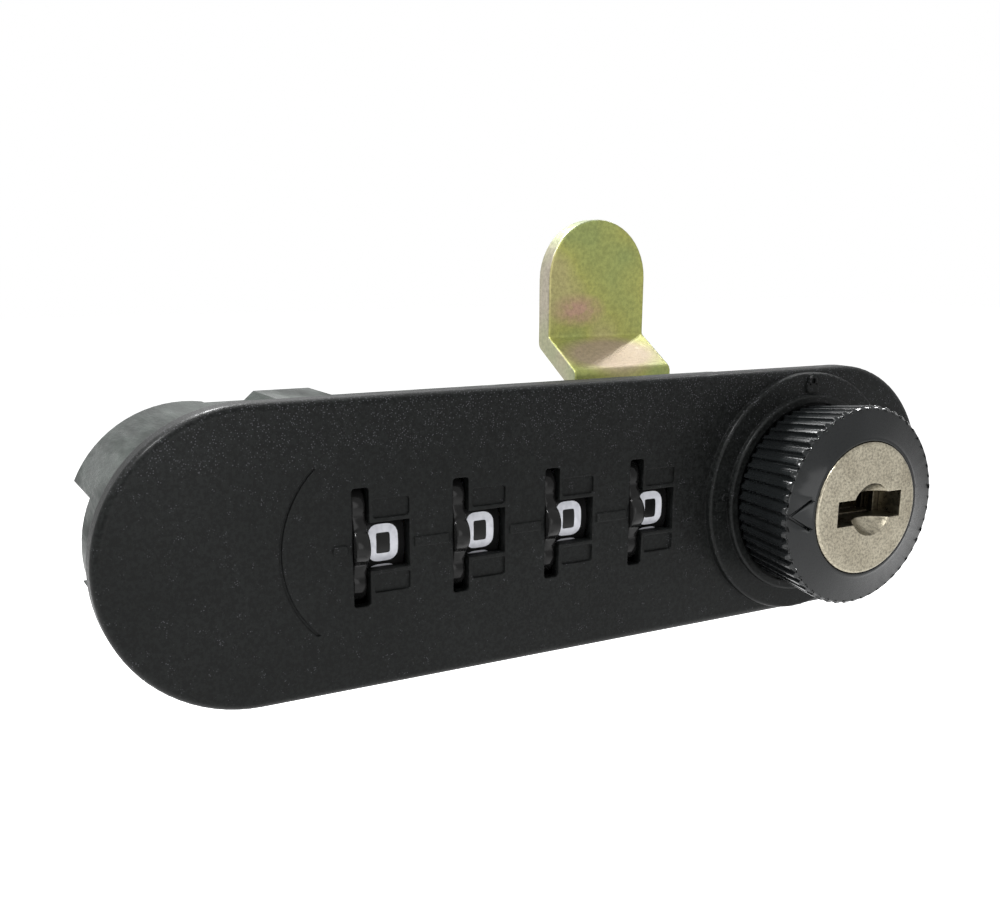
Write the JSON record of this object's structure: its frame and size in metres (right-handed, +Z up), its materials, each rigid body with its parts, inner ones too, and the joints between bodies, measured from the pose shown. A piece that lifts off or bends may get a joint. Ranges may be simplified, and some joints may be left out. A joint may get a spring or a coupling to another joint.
{
  "type": "locker lock",
  "caption": "Oblong black combination lock for a locker door: number wheels in the face, a knurled knob with a master key plug, and a bent yellow cam behind the door.",
  "frame": {"origin": "middle of the face plate, in the plane of its rim that seats on the door, where the door's cut-out is centred", "axes": "+X along the plate towards the knob, +Z up, +Y into the door, so the front looks along -Y"},
  "size_m": [0.1046, 0.0587, 0.0484],
  "materials": {
    "black_plate": "fine textured matte black coating",
    "black_case": "smooth black coating on a die casting",
    "black_knob": "satin black moulding",
    "wheel_plastic": "glossy black moulding with white numbers",
    "nickel": "satin nickel plating, finely blasted",
    "yellow_zinc": "yellow chromate over zinc, faintly iridescent",
    "steel": "zinc plated steel",
    "spring_steel": "plain spring steel",
    "brass": "stamped brass"
  },
  "bodies": {
    "case": {"face_housing": "black_plate", "rear_cover": "black_case", "cover_screws": "steel", "barrel": "black_case", "wheel_shaft": "steel", "detent_spring": "spring_steel"},
    "wheel_1": {"number_wheel_1": "wheel_plastic", "code_ring_1": "brass"},
    "wheel_2": {"number_wheel_2": "wheel_plastic", "code_ring_2": "brass"},
    "wheel_3": {"number_wheel_3": "wheel_plastic", "code_ring_3": "brass"},
    "wheel_4": {"number_wheel_4": "wheel_plastic", "code_ring_4": "brass"},
    "fence": {"fence_bar": "steel"},
    "knob": {"knob": "black_knob", "spindle": "steel", "cam": "yellow_zinc", "cam_washer": "steel", "cam_screw": "steel"},
    "key": {"key_plug": "nickel", "key_wafers": "brass", "plug_clip": "spring_steel"}
  },
  "joints": [
    {"name": "wheel_1_turn", "type": "hinge", "parent": "case", "child": "wheel_1", "pos_m": [0, 0.0054, 0], "axis": [1, 0, 0], "continuous": true},
    {"name": "wheel_2_turn", "type": "hinge", "parent": "case", "child": "wheel_2", "pos_m": [0, 0.0054, 0], "axis": [1, 0, 0], "continuous": true},
    {"name": "wheel_3_turn", "type": "hinge", "parent": "case", "child": "wheel_3", "pos_m": [0, 0.0054, 0], "axis": [1, 0, 0], "continuous": true},
    {"name": "wheel_4_turn", "type": "hinge", "parent": "case", "child": "wheel_4", "pos_m": [0, 0.0054, 0], "axis": [1, 0, 0], "continuous": true},
    {"name": "knob_turn", "type": "hinge", "parent": "case", "child": "knob", "pos_m": [0.0313, 0, 0], "axis": [0, 1, 0], "range_deg": [0, 90]},
    {"name": "key_turn", "type": "hinge", "parent": "knob", "child": "key", "pos_m": [0.0313, 0, 0], "axis": [0, 1, 0], "range_deg": [0, 90]},
    {"name": "fence_rock", "type": "hinge", "parent": "case", "child": "fence", "pos_m": [0, 0.013, 0.0076], "axis": [1, 0, 0], "range_deg": [0, 12]}
  ],
  "couplings": [
    {"joint": "fence_rock", "follows": "key_turn", "ratio": 0.13333}
  ]
}
